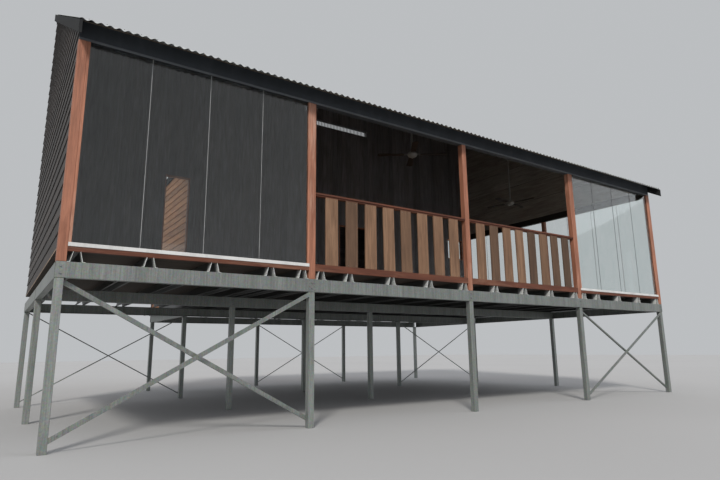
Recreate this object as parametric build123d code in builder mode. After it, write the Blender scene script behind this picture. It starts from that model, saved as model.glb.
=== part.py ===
from build123d import *
import os
from math import cos, hypot, radians, tan

# A raised timber and steel bird hide: four bays along the front, two rows deep under the
# main roof and a third row under a low lean-to. Millimetres, x along the front, y from front
# to back, z up from the lowest foot.

# Grid of the frame
bay_width = 2800
row_depth = 2700

# Steel under the floor
stump_height = 1637
stump_width = 80
bearer_depth = 160
bearer_flange = 75
bearer_gauge = 6
joist_height = 118
joist_top_width = 65
joist_base_width = 120
joist_lip = 22
joist_gauge = 4
joists_per_bay = 4
joist_post_clearance = 5
brace_thickness = 35
brace_end_height = 57
brace_foot = 90
brace_head_gap = 5
rod_thickness = 16
rod_end_height = 20

# Floor, posts and openings of the hide
deck_thickness = 22
post_width = 90
clear_height = 2248
rim_height = 90
rim_drop = 12
rim_thickness = 45
sill_height = 40
sill_lip = 5
glass_thickness = 12
pane_gap = 6
panes_per_bay = 4
rail_height = 1008
rail_thickness = 45
slat_width = 190
slat_gap = 125
slat_thickness = 20

# Walls
wall_thickness = 100
tie_depth = 150
tie_drop = 45
garden_window_height = 2670
garden_window_width = 520
window_sill_height = 1545
back_window_width = 600
back_window_height = 580
back_window_inset = 395
end_window_width = 900
end_window_height = 850
end_window_inset = 100
vent_head = 360
vent_height = 150
vent_width = 1800
door_width = 900
door_height = 2100

# Roofs
roof_pitch = 30
lean_to_pitch = 3
lean_to_height = 3120
eave_beam_depth = 220
eave_packing = 10
eave_packer_width = 65
plate_depth = 150
rafter_width = 65
rafter_depth = 180
purlin_width = 45
purlin_depth = 60
purlin_spacing = 850
high_purlin_inset = 90
sheet_thickness = 25
eave_overhang = 300
high_overhang = 300
fascia_thickness = 20
fascia_depth = 170
barge_thickness = 30
barge_depth = 150

# Ceiling fans
fan_setback = 1260
fan_purlin_count = 3
fan_head_room = 2490
fan_radius = 650
fan_blade_width = 130
blade_thickness = 8
fan_hub_radius = 90
fan_hub_height = 110
fan_rod_width = 24
fan_spindle_radius = 8
spindle_clearance = 0.05
fan_nut_radius = 20
fan_nut_height = 10
fan_gap = 5
front_fan_turn = -34
right_fan_turn = 11

# Post lines and row lines
post_x = [bay_width * line for line in (-2, -1, 0, 1, 2)]
front_y = -1.5 * row_depth
middle_y = front_y + row_depth
back_y = middle_y + row_depth
rear_y = back_y + row_depth
half_post = post_width / 2
half_stump = stump_width / 2
half_wall = wall_thickness / 2
front_face_y = front_y - half_post
rim_back_y = front_face_y + rim_thickness
rim_middle_y = front_face_y + rim_thickness / 2
outer_x = post_x[4] + half_post
inner_x = outer_x - wall_thickness
lean_x = post_x[1] - half_wall

# Levels
bearer_top = stump_height + bearer_depth
joist_top = bearer_top + joist_height
deck_top = joist_top + deck_thickness
rim_bottom = joist_top - rim_drop
rim_top = rim_bottom + rim_height
rail_top = deck_top + rail_height
eave_beam_bottom = deck_top + clear_height
eave_beam_top = eave_beam_bottom + eave_beam_depth
tie_bottom = eave_beam_bottom - tie_drop
tie_top = tie_bottom + tie_depth
garden_window_head = deck_top + garden_window_height
lean_to_eave = deck_top + lean_to_height
window_bottom = deck_top + window_sill_height
back_window_top = window_bottom + back_window_height
end_window_top = window_bottom + end_window_height

# Roof planes
main_rise = tan(radians(roof_pitch))
main_cos = cos(radians(roof_pitch))
lean_rise = tan(radians(lean_to_pitch))
lean_cos = cos(radians(lean_to_pitch))
purlin_drop = purlin_depth / main_cos
rafter_drop = (purlin_depth + rafter_depth) / main_cos
sheet_rise = sheet_thickness / main_cos
lean_purlin_drop = purlin_depth / lean_cos
lean_rafter_drop = (purlin_depth + rafter_depth) / lean_cos
lean_sheet_rise = sheet_thickness / lean_cos
high_edge_y = back_y + high_overhang
main_length = outer_x + barge_thickness
lean_barge_x = lean_x - barge_thickness
wall_face_y = back_y + half_wall
rear_face_y = rear_y + half_wall
rear_edge_y = rear_y + eave_overhang
front_edge_y = front_y - eave_overhang

# Edges of the windows in the back wall and the lean-to
garden_window_left = lean_x - garden_window_width
back_window_right = outer_x - back_window_inset
back_window_left = back_window_right - back_window_width
end_window_front = wall_face_y + end_window_inset
end_window_back = end_window_front + end_window_width


def main_z(y):
    """Height of the underside of the main roof sheet."""
    return eave_beam_top + eave_packing + main_rise * (y - front_face_y)


def lean_z(y):
    """Height of the underside of the lean-to roof sheet."""
    return lean_to_eave + lean_rise * (rear_face_y - y)


plate_bottom = main_z(back_y - half_wall) - rafter_drop - plate_depth
vent_top = plate_bottom - vent_head
vent_bottom = vent_top - vent_height


def face(*points):
    """A flat face with straight sides through the points."""
    Polygon(*points, align=None)


def span(low_u, high_u, low_v, high_v):
    """A rectangle between two limits each way."""
    with Locations(((low_u + high_u) / 2, (low_v + high_v) / 2)):
        Rectangle(high_u - low_u, high_v - low_v)


def roof_band(height_at, start_y, end_y, lower_drop, upper_drop=0):
    """A strip that follows a roof plane, between two depths below the sheet."""
    face(
        (start_y, height_at(start_y) - lower_drop),
        (end_y, height_at(end_y) - lower_drop),
        (end_y, height_at(end_y) - upper_drop),
        (start_y, height_at(start_y) - upper_drop),
    )


def purlin_section(height_at, y, slope):
    """A purlin's section, square to a roof's slope, hung below the sheet at y."""
    level = 1 / hypot(1, slope)
    half_along = purlin_width / 2 * level
    half_up = half_along * slope
    foot_y = purlin_depth * level * slope
    foot_z = purlin_depth * level
    top = height_at(y)
    face(
        (y - half_along, top - half_up),
        (y + half_along, top + half_up),
        (y + half_along + foot_y, top + half_up - foot_z),
        (y - half_along + foot_y, top - half_up - foot_z),
    )


def channel_section(web, inward, bottom):
    """A C section with its web at one side and its flanges pointing inward."""
    flange_end = web + inward * bearer_flange
    back = web + inward * bearer_gauge
    top = bottom + bearer_depth
    face(
        (web, bottom),
        (flange_end, bottom),
        (flange_end, bottom + bearer_gauge),
        (back, bottom + bearer_gauge),
        (back, top - bearer_gauge),
        (flange_end, top - bearer_gauge),
        (flange_end, top),
        (web, top),
    )


def diagonal(low_x, high_x, low_z, high_z, end_height):
    """A straight bar with upright ends, from a low end to a high end."""
    face(
        (low_x, low_z),
        (high_x, high_z - end_height),
        (high_x, high_z),
        (low_x, low_z + end_height),
    )


# Steel stumps, one row under each bearer
with BuildPart() as stumps_front:
    with BuildSketch(Plane.XY):
        with Locations(*[(x, front_y) for x in post_x]):
            Rectangle(stump_width, stump_width)
    extrude(amount=stump_height)
stumps_front.part.label = "stumps_front"

with BuildPart() as stumps_middle:
    with BuildSketch(Plane.XY):
        with Locations(*[(x, middle_y) for x in post_x]):
            Rectangle(stump_width, stump_width)
    extrude(amount=stump_height)
stumps_middle.part.label = "stumps_middle"

with BuildPart() as stumps_back:
    with BuildSketch(Plane.XY):
        with Locations(*[(x, back_y) for x in post_x]):
            Rectangle(stump_width, stump_width)
    extrude(amount=stump_height)
stumps_back.part.label = "stumps_back"

with BuildPart() as stumps_rear:
    with BuildSketch(Plane.XY):
        with Locations(*[(x, rear_y) for x in post_x[1:]]):
            Rectangle(stump_width, stump_width)
    extrude(amount=stump_height)
stumps_rear.part.label = "stumps_rear"

# C section bearers on the stumps
with BuildPart() as bearer_front:
    with BuildSketch(Plane.YZ.offset(-outer_x)):
        channel_section(front_face_y, 1, stump_height)
    extrude(amount=2 * outer_x)
bearer_front.part.label = "bearer_front"

with BuildPart() as bearer_middle:
    with BuildSketch(Plane.YZ.offset(-outer_x)):
        channel_section(middle_y - half_post, 1, stump_height)
    extrude(amount=2 * outer_x)
bearer_middle.part.label = "bearer_middle"

with BuildPart() as bearer_back:
    with BuildSketch(Plane.YZ.offset(-outer_x)):
        channel_section(back_y + half_post, -1, stump_height)
    extrude(amount=2 * outer_x)
bearer_back.part.label = "bearer_back"

with BuildPart() as bearer_rear:
    with BuildSketch(Plane.YZ.offset(lean_x)):
        channel_section(rear_y + half_post, -1, stump_height)
    extrude(amount=outer_x - lean_x)
bearer_rear.part.label = "bearer_rear"

# End bearers along both short sides, butted between the row bearers
front_flange_y = front_face_y + bearer_flange
middle_flange_y = middle_y - half_post + bearer_flange
back_flange_y = back_y + half_post - bearer_flange
rear_flange_y = rear_y + half_post - bearer_flange
with BuildPart() as bearers_ends:
    for start_y, end_y, left in (
        (front_flange_y, middle_y - half_post, -outer_x),
        (middle_flange_y, back_flange_y, -outer_x),
        (back_y + half_post, rear_flange_y, lean_x),
    ):
        with BuildSketch(Plane.XZ.offset(-end_y)):
            channel_section(left, 1, stump_height)
            channel_section(outer_x, -1, stump_height)
        extrude(amount=end_y - start_y)
bearers_ends.part.label = "bearers_ends"

# Top-hat floor joists, clear of the post lines and notched for the rim boards
joist_half_base = joist_base_width / 2
joist_half_top = joist_top_width / 2
joist_offset = half_post + joist_half_base + joist_lip + joist_post_clearance


def joist_section(x):
    """A top-hat section, open below, with a lip at each foot."""
    foot = bearer_top + joist_gauge
    crown = joist_top - joist_gauge
    face(
        (x - joist_half_base - joist_lip, bearer_top),
        (x - joist_half_base + joist_gauge, bearer_top),
        (x - joist_half_top + joist_gauge, crown),
        (x + joist_half_top - joist_gauge, crown),
        (x + joist_half_base - joist_gauge, bearer_top),
        (x + joist_half_base + joist_lip, bearer_top),
        (x + joist_half_base + joist_lip, foot),
        (x + joist_half_base, foot),
        (x + joist_half_top, joist_top),
        (x - joist_half_top, joist_top),
        (x - joist_half_base, foot),
        (x - joist_half_base - joist_lip, foot),
    )


joist_spacing = bay_width / joists_per_bay
left_joist_count = int((bay_width - 3 * joist_offset) // joist_spacing) + 1
left_joists = [post_x[0] + joist_offset + n * joist_spacing for n in range(left_joist_count)]
main_joist_count = 3 * joists_per_bay + 1
main_joists = [post_x[1] - joist_offset + n * joist_spacing for n in range(main_joist_count)]
main_joists += [post_x[1] + joist_offset, post_x[3] + joist_offset]

with BuildPart() as joists_left:
    with BuildSketch(Plane.XZ.offset(-wall_face_y)):
        for x in left_joists:
            joist_section(x)
    extrude(amount=wall_face_y - front_face_y)
    with BuildSketch(Plane.XY.offset(rim_bottom)):
        span(-outer_x, outer_x, front_face_y, rim_back_y)
    extrude(amount=rim_drop, mode=Mode.SUBTRACT)
joists_left.part.label = "joists_left"

with BuildPart() as joists_main:
    with BuildSketch(Plane.XZ.offset(-rear_face_y)):
        for x in main_joists:
            joist_section(x)
    extrude(amount=rear_face_y - front_face_y)
    with BuildSketch(Plane.XY.offset(rim_bottom)):
        span(-outer_x, outer_x, front_face_y, rim_back_y)
    extrude(amount=rim_drop, mode=Mode.SUBTRACT)
joists_main.part.label = "joists_main"

# Floor deck, stepped at the back and notched round the front posts
with BuildPart() as floor_deck:
    with BuildSketch(Plane.XY.offset(joist_top)):
        span(-outer_x, outer_x, rim_back_y, wall_face_y)
        span(lean_x, outer_x, wall_face_y, rear_face_y)
        with Locations(*[(x, front_y) for x in post_x]):
            Rectangle(post_width, post_width, mode=Mode.SUBTRACT)
    extrude(amount=deck_thickness)
floor_deck.part.label = "floor_deck"

# Crossed struts between the front stumps of the two end bays
strut_top = stump_height - brace_head_gap
end_bays = ((post_x[0], post_x[1]), (post_x[3], post_x[4]))
with BuildPart() as front_struts:
    for left, right in end_bays:
        with BuildSketch(Plane.XZ.offset(half_stump - brace_thickness - front_y)):
            diagonal(left + half_stump, right - half_stump, brace_foot, strut_top, brace_end_height)
        extrude(amount=brace_thickness)
        with BuildSketch(Plane.XZ.offset(-front_y - half_stump)):
            diagonal(right - half_stump, left + half_stump, brace_foot, strut_top, brace_end_height)
        extrude(amount=brace_thickness)
front_struts.part.label = "front_struts"

# Thin crossed rods between the hidden stumps
rod_bays = (
    (post_x[0], post_x[1], back_y),
    (post_x[3], post_x[4], back_y),
    (post_x[2], post_x[3], rear_y),
)
with BuildPart() as back_rods:
    for left, right, row_y in rod_bays:
        with BuildSketch(Plane.XZ.offset(half_stump - rod_thickness - row_y)):
            diagonal(left + half_stump, right - half_stump, brace_foot, strut_top, rod_end_height)
        extrude(amount=rod_thickness)
        with BuildSketch(Plane.XZ.offset(-row_y - half_stump)):
            diagonal(right - half_stump, left + half_stump, brace_foot, strut_top, rod_end_height)
        extrude(amount=rod_thickness)
back_rods.part.label = "back_rods"

# Front posts, standing on the front bearer
with BuildPart() as posts_front:
    with BuildSketch(Plane.XY.offset(bearer_top)):
        with Locations(*[(x, front_y) for x in post_x]):
            Rectangle(post_width, post_width)
    extrude(amount=eave_beam_bottom - bearer_top)
posts_front.part.label = "posts_front"

# Posts of the glazed right end, standing on the deck below the tie beam
with BuildPart() as posts_right_end:
    with BuildSketch(Plane.XY.offset(deck_top)):
        with Locations((post_x[4], middle_y), (post_x[4], back_y)):
            Rectangle(post_width, post_width)
    extrude(amount=tie_bottom - deck_top)
posts_right_end.part.label = "posts_right_end"

# Rim boards let into the joist ends, lower under the glazed end bays
glazed_rim_height = rim_height - sill_height
open_bays = ((post_x[1], post_x[2]), (post_x[2], post_x[3]))
with BuildPart() as rim_boards:
    for bays, height in ((end_bays, glazed_rim_height), (open_bays, rim_height)):
        with BuildSketch(Plane.XY.offset(rim_bottom)):
            for left, right in bays:
                span(left + half_post, right - half_post, front_face_y, rim_back_y)
        extrude(amount=height)
rim_boards.part.label = "rim_boards"

# Pale sills under the glass
end_sill_half = rim_thickness / 2
end_glass_spans = (
    (front_y + half_post, middle_y - half_post),
    (middle_y + half_post, back_y - half_post),
)
with BuildPart() as front_sills:
    with BuildSketch(Plane.XY.offset(rim_bottom + glazed_rim_height)):
        for left, right in end_bays:
            span(left + half_post, right - half_post, front_face_y - sill_lip, rim_back_y)
    extrude(amount=sill_height)
front_sills.part.label = "front_sills"

with BuildPart() as floor_sills:
    with BuildSketch(Plane.XY.offset(deck_top)):
        for start_y, end_y in end_glass_spans:
            span(post_x[4] - end_sill_half, post_x[4] + end_sill_half, start_y, end_y)
        span(garden_window_left, lean_x, back_y - end_sill_half, back_y + end_sill_half)
    extrude(amount=sill_height)
floor_sills.part.label = "floor_sills"


def pane_limits(start, end):
    """The two edges of each pane, with equal joints between posts."""
    width = (end - start - (panes_per_bay - 1) * pane_gap) / panes_per_bay
    firsts = [start + n * (width + pane_gap) for n in range(panes_per_bay)]
    return [(first, first + width) for first in firsts]


# Glass: frameless at the front of both end bays and at the right end, and one pane in the
# tall garden window and in each of the two small windows
half_glass = glass_thickness / 2
with BuildPart() as glass_front:
    with BuildSketch(Plane.XY.offset(rim_top)):
        for left, right in end_bays:
            for start_x, end_x in pane_limits(left + half_post, right - half_post):
                span(start_x, end_x, rim_middle_y - half_glass, rim_middle_y + half_glass)
    extrude(amount=eave_beam_bottom - rim_top)
glass_front.part.label = "glass_front"

with BuildPart() as glass_right_end:
    with BuildSketch(Plane.XY.offset(deck_top + sill_height)):
        for low_y, high_y in end_glass_spans:
            for start_y, end_y in pane_limits(low_y, high_y):
                span(post_x[4] - half_glass, post_x[4] + half_glass, start_y, end_y)
    extrude(amount=tie_bottom - deck_top - sill_height)
    with BuildSketch(Plane.XY.offset(window_bottom)):
        pane_x = outer_x - half_wall
        span(pane_x - half_glass, pane_x + half_glass, end_window_front, end_window_back)
    extrude(amount=end_window_height)
glass_right_end.part.label = "glass_right_end"

with BuildPart() as glass_back:
    with BuildSketch(Plane.XY.offset(deck_top + sill_height)):
        span(garden_window_left, lean_x, back_y - half_glass, back_y + half_glass)
    extrude(amount=garden_window_height - sill_height)
    with BuildSketch(Plane.XY.offset(window_bottom)):
        span(back_window_left, back_window_right, back_y - half_glass, back_y + half_glass)
    extrude(amount=back_window_height)
glass_back.part.label = "glass_back"

# Balustrade of the two open bays: top rails and wide upright slats
with BuildPart() as balustrade_rails:
    with BuildSketch(Plane.XY.offset(rail_top - rail_thickness)):
        for left, right in open_bays:
            span(left + half_post, right - half_post, front_face_y, front_y + half_post)
    extrude(amount=rail_thickness)
balustrade_rails.part.label = "balustrade_rails"

clear_bay = bay_width - post_width
slat_pitch = slat_width + slat_gap
slat_count = int((clear_bay - slat_gap) // slat_pitch)
first_slat = (bay_width - (slat_count - 1) * slat_pitch) / 2
with BuildPart() as balustrade_slats:
    with BuildSketch(Plane.XY.offset(rim_top)):
        for left, right in open_bays:
            for n in range(slat_count):
                with Locations((left + first_slat + n * slat_pitch, rim_middle_y)):
                    Rectangle(slat_width, slat_thickness)
    extrude(amount=rail_top - rail_thickness - rim_top)
balustrade_slats.part.label = "balustrade_slats"

# Left wall, a tall half gable that rises with the roof
with BuildPart() as left_wall:
    with BuildSketch(Plane.YZ.offset(-outer_x)):
        face(
            (front_y + half_post, deck_top),
            (wall_face_y, deck_top),
            (wall_face_y, main_z(wall_face_y) - purlin_drop),
            (front_y + half_post, main_z(front_y + half_post) - purlin_drop),
        )
    extrude(amount=wall_thickness)
left_wall.part.label = "left_wall"

# Right end: a level tie beam with a boarded half gable above it
with BuildPart() as right_tie_beam:
    with BuildSketch(Plane.YZ.offset(outer_x - post_width)):
        span(front_y + half_post, wall_face_y, tie_bottom, tie_top)
    extrude(amount=post_width)
right_tie_beam.part.label = "right_tie_beam"

with BuildPart() as right_gable_wall:
    with BuildSketch(Plane.YZ.offset(outer_x - wall_thickness)):
        face(
            (front_y + half_post, tie_top),
            (wall_face_y, tie_top),
            (wall_face_y, main_z(wall_face_y) - purlin_drop),
            (front_y + half_post, main_z(front_y + half_post) - purlin_drop),
        )
    extrude(amount=wall_thickness)
right_gable_wall.part.label = "right_gable_wall"

# Back wall with a doorway, a small window, a tall garden window and a high vent slot
door_left = post_x[2] + (bay_width - door_width) / 2
vent_left = post_x[2] + half_post
with BuildPart() as back_wall:
    with BuildSketch(Plane.XZ.offset(-wall_face_y)):
        face(
            (-inner_x, deck_top),
            (outer_x - post_width, deck_top),
            (outer_x - post_width, tie_bottom),
            (inner_x, tie_bottom),
            (inner_x, plate_bottom),
            (-inner_x, plate_bottom),
        )
        with Locations(((garden_window_left + lean_x) / 2, (deck_top + garden_window_head) / 2)):
            Rectangle(garden_window_width, garden_window_height, mode=Mode.SUBTRACT)
        with Locations((door_left + door_width / 2, deck_top + door_height / 2)):
            Rectangle(door_width, door_height, mode=Mode.SUBTRACT)
        with Locations(
            ((back_window_left + back_window_right) / 2, (window_bottom + back_window_top) / 2)
        ):
            Rectangle(back_window_width, back_window_height, mode=Mode.SUBTRACT)
        with Locations((vent_left + vent_width / 2, (vent_bottom + vent_top) / 2)):
            Rectangle(vent_width, vent_height, mode=Mode.SUBTRACT)
    extrude(amount=wall_thickness)
back_wall.part.label = "back_wall"

# Eave beam on the front posts
with BuildPart() as eave_beam:
    with BuildSketch(Plane.YZ.offset(-outer_x)):
        span(front_face_y, front_y + half_post, eave_beam_bottom, eave_beam_top)
    extrude(amount=2 * outer_x)
eave_beam.part.label = "eave_beam"

# Main rafters over the inner post lines
rafter_end_y = high_edge_y - fascia_thickness
main_rafter_x = post_x[1:4]
with BuildPart() as main_rafters:
    for x in main_rafter_x:
        with BuildSketch(Plane.YZ.offset(x - rafter_width / 2)):
            roof_band(main_z, front_y + half_post, rafter_end_y, rafter_drop, purlin_drop)
        extrude(amount=rafter_width)
main_rafters.part.label = "main_rafters"

# High plate on the back wall, notched over the rafters
with BuildPart() as high_plate:
    with BuildSketch(Plane.YZ.offset(-inner_x)):
        face(
            (back_y - half_wall, plate_bottom),
            (wall_face_y, plate_bottom),
            (wall_face_y, main_z(wall_face_y) - purlin_drop),
            (back_y - half_wall, main_z(back_y - half_wall) - purlin_drop),
        )
    extrude(amount=2 * inner_x)
    for x in main_rafter_x:
        with BuildSketch(Plane.YZ.offset(x - rafter_width / 2)):
            roof_band(main_z, back_y - wall_thickness, back_y + wall_thickness, rafter_drop)
        extrude(amount=rafter_width, mode=Mode.SUBTRACT)
high_plate.part.label = "high_plate"

# Purlins under the main sheet, with a tapered one on the eave beam
packer_end_y = front_face_y + eave_packer_width
purlin_count = int((row_depth * 2 - purlin_spacing / 2) // purlin_spacing)
main_purlin_y = [front_y + purlin_spacing * (n + 1) for n in range(purlin_count)]
main_purlin_y.append(rafter_end_y - high_purlin_inset)
with BuildPart() as main_purlins:
    with BuildSketch(Plane.YZ.offset(-outer_x)):
        face(
            (front_face_y, eave_beam_top),
            (packer_end_y, eave_beam_top),
            (packer_end_y, main_z(packer_end_y)),
            (front_face_y, main_z(front_face_y)),
        )
        for y in main_purlin_y:
            purlin_section(main_z, y, main_rise)
    extrude(amount=2 * outer_x)
main_purlins.part.label = "main_purlins"

with BuildPart() as main_roof_sheet:
    with BuildSketch(Plane.YZ.offset(-main_length)):
        roof_band(main_z, front_edge_y, high_edge_y, 0, -sheet_rise)
    extrude(amount=2 * main_length)
main_roof_sheet.part.label = "main_roof_sheet"

with BuildPart() as high_fascia:
    with BuildSketch(Plane.YZ.offset(-outer_x)):
        roof_band(main_z, rafter_end_y, high_edge_y, fascia_depth)
    extrude(amount=2 * outer_x)
high_fascia.part.label = "high_fascia"

# Barge boards along both verges of the main roof
with BuildPart() as barge_boards:
    for start_x in (-main_length, outer_x):
        with BuildSketch(Plane.YZ.offset(start_x)):
            roof_band(main_z, front_edge_y, high_edge_y, barge_depth)
        extrude(amount=barge_thickness)
barge_boards.part.label = "barge_boards"

# Lean-to walls, with the second small window in the right end
with BuildPart() as lean_to_end_walls:
    for start_x in (lean_x, inner_x):
        with BuildSketch(Plane.YZ.offset(start_x)):
            face(
                (wall_face_y, deck_top),
                (rear_y - half_wall, deck_top),
                (rear_y - half_wall, lean_z(rear_y - half_wall) - lean_purlin_drop),
                (wall_face_y, lean_z(wall_face_y) - lean_purlin_drop),
            )
        extrude(amount=wall_thickness)
    with BuildSketch(Plane.YZ.offset(inner_x)):
        span(end_window_front, end_window_back, window_bottom, end_window_top)
    extrude(amount=wall_thickness, mode=Mode.SUBTRACT)
lean_to_end_walls.part.label = "lean_to_end_walls"

lean_rafter_x = post_x[2:4]
with BuildPart() as lean_to_rear_wall:
    with BuildSketch(Plane.YZ.offset(lean_x)):
        face(
            (rear_y - half_wall, deck_top),
            (rear_face_y, deck_top),
            (rear_face_y, lean_z(rear_face_y) - lean_purlin_drop),
            (rear_y - half_wall, lean_z(rear_y - half_wall) - lean_purlin_drop),
        )
    extrude(amount=outer_x - lean_x)
    for x in lean_rafter_x:
        with BuildSketch(Plane.YZ.offset(x - rafter_width / 2)):
            roof_band(lean_z, rear_y - wall_thickness, rear_y + wall_thickness, lean_rafter_drop)
        extrude(amount=rafter_width, mode=Mode.SUBTRACT)
    with BuildSketch(Plane.XY.offset(deck_top)):
        span(door_left, door_left + door_width, rear_y - wall_thickness, rear_y + wall_thickness)
    extrude(amount=door_height, mode=Mode.SUBTRACT)
lean_to_rear_wall.part.label = "lean_to_rear_wall"

# Lean-to roof
with BuildPart() as lean_to_rafters:
    for x in lean_rafter_x:
        with BuildSketch(Plane.YZ.offset(x - rafter_width / 2)):
            roof_band(lean_z, wall_face_y, rear_face_y, lean_rafter_drop, lean_purlin_drop)
        extrude(amount=rafter_width)
lean_to_rafters.part.label = "lean_to_rafters"

lean_purlin_count = round(row_depth / purlin_spacing)
lean_purlin_y = [rear_y - row_depth * n / lean_purlin_count for n in range(lean_purlin_count)]
with BuildPart() as lean_to_purlins:
    with BuildSketch(Plane.YZ.offset(lean_x)):
        for y in lean_purlin_y:
            purlin_section(lean_z, y, -lean_rise)
    extrude(amount=outer_x - lean_x)
lean_to_purlins.part.label = "lean_to_purlins"

with BuildPart() as lean_to_roof_sheet:
    with BuildSketch(Plane.YZ.offset(lean_barge_x)):
        roof_band(lean_z, wall_face_y, rear_edge_y, 0, -lean_sheet_rise)
    extrude(amount=main_length - lean_barge_x)
lean_to_roof_sheet.part.label = "lean_to_roof_sheet"

with BuildPart() as lean_to_barges:
    for start_x in (lean_barge_x, outer_x):
        with BuildSketch(Plane.YZ.offset(start_x)):
            roof_band(lean_z, wall_face_y, rear_edge_y, barge_depth)
        extrude(amount=barge_thickness)
lean_to_barges.part.label = "lean_to_barges"

# Ceiling fans: fixed rods with spindles, one under a rafter and one under a purlin
purlin_foot = purlin_depth * main_cos * main_rise
front_fan_x = post_x[2]
front_fan_y = front_y + fan_setback
right_fan_x = (post_x[3] + post_x[4]) / 2
right_fan_y = main_purlin_y[fan_purlin_count - 1] + purlin_foot
blade_bottom = deck_top + fan_head_room
fan_hub_bottom = blade_bottom - (fan_hub_height - blade_thickness) / 2
fan_hub_top = fan_hub_bottom + fan_hub_height
rod_bottom = fan_hub_top + fan_gap
spindle_bottom = fan_hub_bottom - fan_gap - fan_nut_height
half_rod = fan_rod_width / 2
with BuildPart() as fan_rods:
    for x, y, drop in (
        (front_fan_x, front_fan_y, rafter_drop),
        (right_fan_x, right_fan_y, purlin_drop),
    ):
        with BuildSketch(Plane.YZ.offset(x - half_rod)):
            face(
                (y - half_rod, rod_bottom),
                (y + half_rod, rod_bottom),
                (y + half_rod, main_z(y + half_rod) - drop),
                (y - half_rod, main_z(y - half_rod) - drop),
            )
        extrude(amount=fan_rod_width)
        with BuildSketch(Plane.XY.offset(spindle_bottom)):
            with Locations((x, y)):
                Circle(fan_spindle_radius)
        extrude(amount=rod_bottom - spindle_bottom)
        with BuildSketch(Plane.XY.offset(spindle_bottom)):
            with Locations((x, y)):
                Circle(fan_nut_radius)
        extrude(amount=fan_nut_height)
fan_rods.part.label = "fan_rods"


def fan_blades(x, y, turn):
    """Four blades seen from above, as two crossed strips."""
    with Locations((x, y)):
        Rectangle(2 * fan_radius, fan_blade_width, rotation=turn)
        Rectangle(fan_blade_width, 2 * fan_radius, rotation=turn)


# Rotors that turn on the spindles
with BuildPart() as front_fan_rotor:
    with BuildSketch(Plane.XY.offset(blade_bottom)):
        fan_blades(front_fan_x, front_fan_y, front_fan_turn)
    extrude(amount=blade_thickness)
    with BuildSketch(Plane.XY.offset(fan_hub_bottom)):
        with Locations((front_fan_x, front_fan_y)):
            Circle(fan_hub_radius)
    extrude(amount=fan_hub_height)
    with BuildSketch(Plane.XY.offset(fan_hub_bottom)):
        with Locations((front_fan_x, front_fan_y)):
            Circle(fan_spindle_radius + spindle_clearance)
    extrude(amount=fan_hub_height, mode=Mode.SUBTRACT)
front_fan_rotor.part.label = "front_fan_rotor"

with BuildPart() as right_fan_rotor:
    with BuildSketch(Plane.XY.offset(blade_bottom)):
        fan_blades(right_fan_x, right_fan_y, right_fan_turn)
    extrude(amount=blade_thickness)
    with BuildSketch(Plane.XY.offset(fan_hub_bottom)):
        with Locations((right_fan_x, right_fan_y)):
            Circle(fan_hub_radius)
    extrude(amount=fan_hub_height)
    with BuildSketch(Plane.XY.offset(fan_hub_bottom)):
        with Locations((right_fan_x, right_fan_y)):
            Circle(fan_spindle_radius + spindle_clearance)
    extrude(amount=fan_hub_height, mode=Mode.SUBTRACT)
right_fan_rotor.part.label = "right_fan_rotor"

pieces = [
    stumps_front, stumps_middle, stumps_back, stumps_rear,
    bearer_front, bearer_middle, bearer_back, bearer_rear, bearers_ends,
    joists_left, joists_main, floor_deck, front_struts, back_rods,
    posts_front, posts_right_end, rim_boards, front_sills, floor_sills,
    glass_front, glass_right_end, glass_back, balustrade_rails, balustrade_slats,
    left_wall, right_tie_beam, right_gable_wall, back_wall, eave_beam,
    main_rafters, high_plate, main_purlins, main_roof_sheet, high_fascia, barge_boards,
    lean_to_end_walls, lean_to_rear_wall, lean_to_rafters, lean_to_purlins,
    lean_to_roof_sheet, lean_to_barges, fan_rods, front_fan_rotor, right_fan_rotor,
]

os.makedirs("parts", exist_ok=True)
for piece in pieces:
    export_step(piece.part, f"parts/{piece.part.label}.step")
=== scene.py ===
import math
import random

import bmesh
import bpy
from mathutils import Matrix, Vector


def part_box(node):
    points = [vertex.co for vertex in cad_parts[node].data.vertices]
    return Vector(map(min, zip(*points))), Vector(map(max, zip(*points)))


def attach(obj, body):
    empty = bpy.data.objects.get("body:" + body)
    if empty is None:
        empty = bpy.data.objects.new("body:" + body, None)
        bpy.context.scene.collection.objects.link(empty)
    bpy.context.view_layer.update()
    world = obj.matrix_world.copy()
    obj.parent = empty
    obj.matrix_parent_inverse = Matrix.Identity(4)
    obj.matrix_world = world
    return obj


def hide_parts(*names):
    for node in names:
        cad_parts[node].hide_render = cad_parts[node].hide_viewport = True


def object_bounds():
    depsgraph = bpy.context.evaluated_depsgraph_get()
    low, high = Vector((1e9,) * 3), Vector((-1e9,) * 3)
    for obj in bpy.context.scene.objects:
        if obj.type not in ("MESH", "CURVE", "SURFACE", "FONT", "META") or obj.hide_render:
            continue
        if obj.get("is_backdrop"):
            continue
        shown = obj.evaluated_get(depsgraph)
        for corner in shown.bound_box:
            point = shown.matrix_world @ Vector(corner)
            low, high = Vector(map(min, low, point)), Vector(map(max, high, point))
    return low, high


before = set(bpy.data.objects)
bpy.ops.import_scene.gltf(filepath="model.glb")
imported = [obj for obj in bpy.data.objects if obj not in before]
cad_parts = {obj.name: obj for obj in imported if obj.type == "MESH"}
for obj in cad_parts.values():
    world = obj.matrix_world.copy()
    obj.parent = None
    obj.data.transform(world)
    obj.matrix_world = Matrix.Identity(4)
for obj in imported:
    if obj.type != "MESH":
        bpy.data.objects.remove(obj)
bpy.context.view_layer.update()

# Levels and lines of the building, in metres
ROOF_PITCH = math.radians(30)
LEAN_PITCH = math.radians(3)
BAY = 2.8
POSTS = [BAY * line for line in (-2, -1, 0, 1, 2)]
FRONT, MIDDLE, BACK, REAR = -4.05, -1.35, 1.35, 4.05
HALF_POST = 0.045
WALL = 0.1
OUTER = POSTS[4] + HALF_POST
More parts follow.
